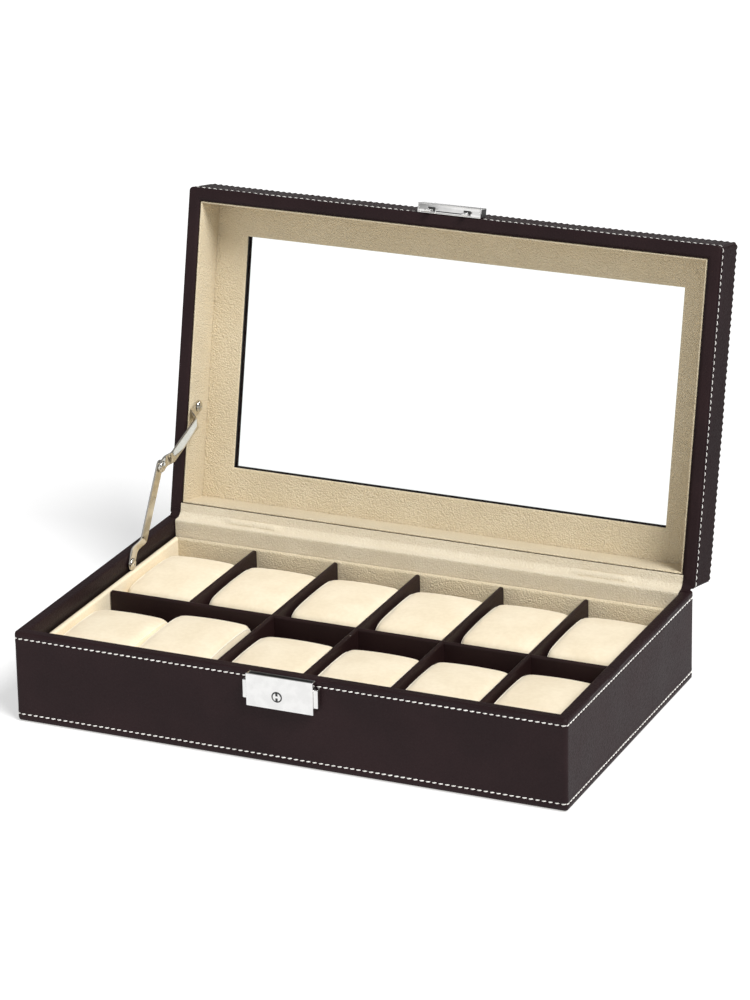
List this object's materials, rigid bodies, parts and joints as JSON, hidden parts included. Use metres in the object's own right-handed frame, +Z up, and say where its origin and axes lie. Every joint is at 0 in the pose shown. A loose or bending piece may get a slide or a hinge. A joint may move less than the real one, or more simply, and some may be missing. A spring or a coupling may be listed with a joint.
{
  "type": "watch box",
  "caption": "Leather-covered watch box with a pillow-filled divider tray, a hinged lid with a glass window, a folding stay and a squeeze lock",
  "frame": {"origin": "centre of the underside of the base", "axes": "+X along the front to the right, +Y to the rear where the lid is hinged, +Z up"},
  "size_m": [0.33, 0.2705, 0.2504],
  "materials": {
    "leather": "pebbled dark brown leather, satin",
    "board": "raw fibreboard, hidden under the coverings",
    "suede": "cream brushed suede lining",
    "twill": "cream twill tape over the hinges",
    "pillow_suede": "cream suede pillow with a piped seam",
    "felt": "dark backing felt and edge paper",
    "nickel": "nickel-plated steel strip",
    "chrome": "polished chrome plate",
    "brass": "plain brass hinges, hidden under the tape",
    "pane": "clear flat glass"
  },
  "bodies": {
    "base": {"base_bottom_cover": "felt", "base_floor_board": "board", "base_front_board": "board", "base_left_board": "board", "base_rear_board": "board", "base_right_board": "board", "base_wrap": "leather", "cross_divider_1": "leather", "cross_divider_2": "leather", "cross_divider_3": "leather", "cross_divider_4": "leather", "cross_divider_5": "leather", "hinge_left_base_leaf": "brass", "hinge_right_base_leaf": "brass", "hinge_tape_base": "twill", "lock_case": "chrome", "long_divider": "leather", "stay_base_rivet": "nickel", "tray_floor_lining": "suede", "tray_front_lining": "suede", "tray_left_lining": "suede", "tray_rear_lining": "suede", "tray_right_lining": "suede"},
    "lid": {"hinge_left_lid_leaf": "brass", "hinge_right_lid_leaf": "brass", "hinge_tape_lid": "twill", "lid_front_board": "board", "lid_front_lining": "suede", "lid_left_board": "board", "lid_left_lining": "suede", "lid_panel_board": "felt", "lid_panel_lining": "suede", "lid_rear_board": "board", "lid_rear_lining": "suede", "lid_right_board": "board", "lid_right_lining": "suede", "lid_wrap": "leather", "lock_strike": "chrome", "stay_lid_rivet": "nickel", "window_glass": "pane", "window_trim": "felt"},
    "stay_lower": {"stay_lower_link": "nickel"},
    "stay_upper": {"stay_upper_link": "nickel"},
    "button_left": {"lock_button_left": "chrome"},
    "button_right": {"lock_button_right": "chrome"},
    "key_plug": {"lock_key_plug": "chrome"},
    "pillow_front_1_body": {"pillow_front_1": "pillow_suede"},
    "pillow_front_2_body": {"pillow_front_2": "pillow_suede"},
    "pillow_front_3_body": {"pillow_front_3": "pillow_suede"},
    "pillow_front_4_body": {"pillow_front_4": "pillow_suede"},
    "pillow_front_5_body": {"pillow_front_5": "pillow_suede"},
    "pillow_front_6_body": {"pillow_front_6": "pillow_suede"},
    "pillow_rear_1_body": {"pillow_rear_1": "pillow_suede"},
    "pillow_rear_2_body": {"pillow_rear_2": "pillow_suede"},
    "pillow_rear_3_body": {"pillow_rear_3": "pillow_suede"},
    "pillow_rear_4_body": {"pillow_rear_4": "pillow_suede"},
    "pillow_rear_5_body": {"pillow_rear_5": "pillow_suede"},
    "pillow_rear_6_body": {"pillow_rear_6": "pillow_suede"}
  },
  "joints": [
    {"name": "lid_hinge", "type": "hinge", "parent": "base", "child": "lid", "pos_m": [0, 0.0975, 0.054], "axis": [-1, 0, 0], "range_deg": [-102, 0]},
    {"name": "stay_base_pivot", "type": "hinge", "parent": "base", "child": "stay_lower", "pos_m": [-0.1573, 0.0318, 0.0475], "axis": [-1, 0, 0], "range_deg": [-113.6, 0.5]},
    {"name": "stay_lid_pivot", "type": "hinge", "parent": "lid", "child": "stay_upper", "pos_m": [-0.1551, 0.12036, 0.11539], "axis": [-1, 0, 0], "range_deg": [-0.5, 112.6]},
    {"name": "left_button_press", "type": "slide", "parent": "base", "child": "button_left", "axis": [1, 0, 0], "range_m": [0, 0.002], "stiffness_N_per_m": 150},
    {"name": "right_button_press", "type": "slide", "parent": "base", "child": "button_right", "axis": [-1, 0, 0], "range_m": [0, 0.002], "stiffness_N_per_m": 150},
    {"name": "key_turn", "type": "hinge", "parent": "base", "child": "key_plug", "pos_m": [-0.0015, -0.0987, 0.0423], "axis": [0, 1, 0], "range_deg": [0, 90]},
    {"name": "lift_pillow_front_1", "type": "slide", "parent": "base", "child": "pillow_front_1_body", "axis": [0, 0, 1], "range_m": [0, 0.055]},
    {"name": "lift_pillow_front_2", "type": "slide", "parent": "base", "child": "pillow_front_2_body", "axis": [0, 0, 1], "range_m": [0, 0.055]},
    {"name": "lift_pillow_front_3", "type": "slide", "parent": "base", "child": "pillow_front_3_body", "axis": [0, 0, 1], "range_m": [0, 0.055]},
    {"name": "lift_pillow_front_4", "type": "slide", "parent": "base", "child": "pillow_front_4_body", "axis": [0, 0, 1], "range_m": [0, 0.055]},
    {"name": "lift_pillow_front_5", "type": "slide", "parent": "base", "child": "pillow_front_5_body", "axis": [0, 0, 1], "range_m": [0, 0.055]},
    {"name": "lift_pillow_front_6", "type": "slide", "parent": "base", "child": "pillow_front_6_body", "axis": [0, 0, 1], "range_m": [0, 0.055]},
    {"name": "lift_pillow_rear_1", "type": "slide", "parent": "base", "child": "pillow_rear_1_body", "axis": [0, 0, 1], "range_m": [0, 0.012]},
    {"name": "lift_pillow_rear_2", "type": "slide", "parent": "base", "child": "pillow_rear_2_body", "axis": [0, 0, 1], "range_m": [0, 0.055]},
    {"name": "lift_pillow_rear_3", "type": "slide", "parent": "base", "child": "pillow_rear_3_body", "axis": [0, 0, 1], "range_m": [0, 0.055]},
    {"name": "lift_pillow_rear_4", "type": "slide", "parent": "base", "child": "pillow_rear_4_body", "axis": [0, 0, 1], "range_m": [0, 0.055]},
    {"name": "lift_pillow_rear_5", "type": "slide", "parent": "base", "child": "pillow_rear_5_body", "axis": [0, 0, 1], "range_m": [0, 0.055]},
    {"name": "lift_pillow_rear_6", "type": "slide", "parent": "base", "child": "pillow_rear_6_body", "axis": [0, 0, 1], "range_m": [0, 0.055]}
  ],
  "couplings": [
    {"joint": "stay_base_pivot", "follows": "lid_hinge", "ratio": 1.1102},
    {"joint": "stay_lid_pivot", "follows": "lid_hinge", "ratio": -1.0998}
  ]
}
